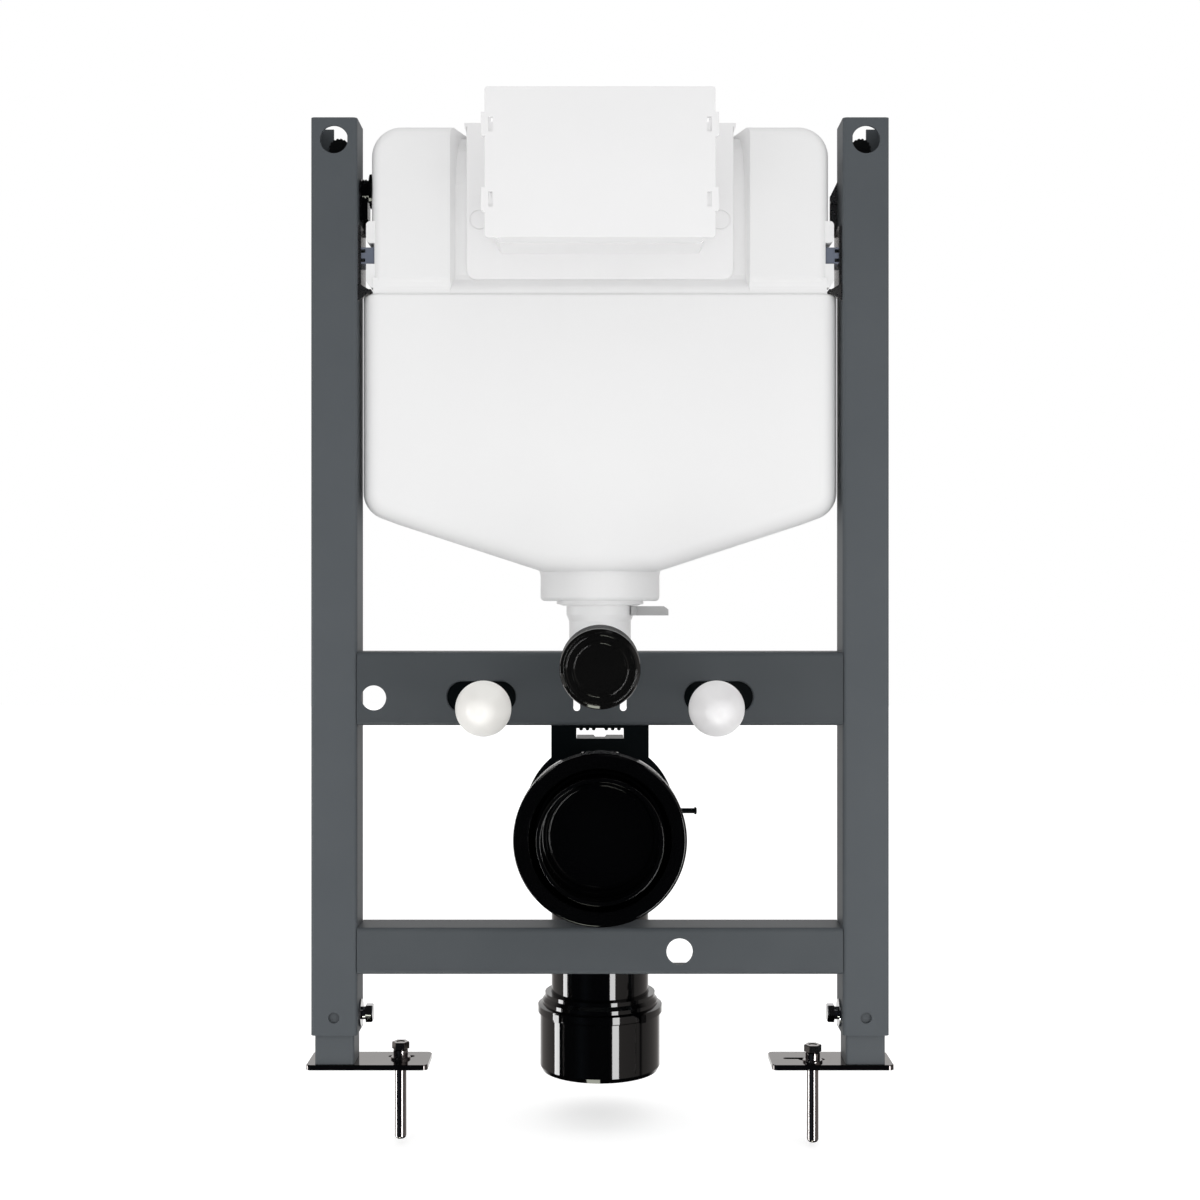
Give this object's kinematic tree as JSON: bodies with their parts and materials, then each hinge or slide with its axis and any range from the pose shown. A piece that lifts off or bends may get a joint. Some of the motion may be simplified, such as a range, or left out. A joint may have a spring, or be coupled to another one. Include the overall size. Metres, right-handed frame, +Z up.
{
  "type": "wall hung toilet frame",
  "caption": "Steel frame for a wall hung toilet, with concealed cistern, flush outlet, soil bend, pan studs and telescopic feet that bolt to the floor.",
  "frame": {"origin": "underside of the left foot plate, on the axis of the left post, at floor level", "axes": "+X to the right along the frame seen from the room, +Y towards the wall behind, +Z up"},
  "size_m": [0.509, 0.3584, 0.8921],
  "materials": {
    "frame_paint": "satin",
    "zinc": "bright",
    "bright_steel": "satin",
    "dark_steel": "satin",
    "cistern_plastic": "matt",
    "white_plastic": "satin",
    "grey_plastic": "matt",
    "pale_grey_plastic": "matt",
    "black_plastic": "gloss"
  },
  "bodies": {
    "left_foot": {"left_leg_tube": "frame_paint", "left_foot_plate": "zinc", "left_anchor_screw": "bright_steel", "left_floor_plug": "bright_steel"},
    "frame": {"left_post": "frame_paint", "right_post": "frame_paint", "upper_crossbar": "frame_paint", "lower_crossbar": "frame_paint", "left_wall_nut": "black_plastic", "right_wall_nut": "black_plastic", "left_clamp_bolt": "bright_steel", "right_clamp_bolt": "bright_steel", "left_stud_plate": "dark_steel", "right_stud_plate": "dark_steel", "left_stud": "bright_steel", "right_stud": "bright_steel", "left_stud_cone": "white_plastic", "right_stud_cone": "white_plastic", "cistern_tank": "cistern_plastic", "access_plate": "cistern_plastic", "access_box": "cistern_plastic", "access_cover": "cistern_plastic", "left_tank_bracket": "zinc", "right_tank_bracket": "zinc", "left_tank_clip": "grey_plastic", "right_tank_clip": "grey_plastic", "inlet_valve": "black_plastic", "flush_collar": "cistern_plastic", "flush_clip": "pale_grey_plastic", "flush_bend": "cistern_plastic", "flush_cap": "black_plastic", "soil_bend": "black_plastic", "soil_socket": "black_plastic", "soil_cap": "black_plastic", "soil_adaptor": "black_plastic", "soil_bracket": "dark_steel", "soil_clamp_pin": "dark_steel"},
    "right_foot": {"right_leg_tube": "frame_paint", "right_foot_plate": "zinc", "right_anchor_screw": "bright_steel", "right_floor_plug": "bright_steel"}
  },
  "joints": [
    {"name": "frame_height", "type": "slide", "parent": "left_foot", "child": "frame", "axis": [0, 0, 1], "range_m": [-0.02, 0.15]},
    {"name": "right_leg_slide", "type": "slide", "parent": "frame", "child": "right_foot", "axis": [0, 0, -1], "range_m": [-0.02, 0.15]}
  ]
}
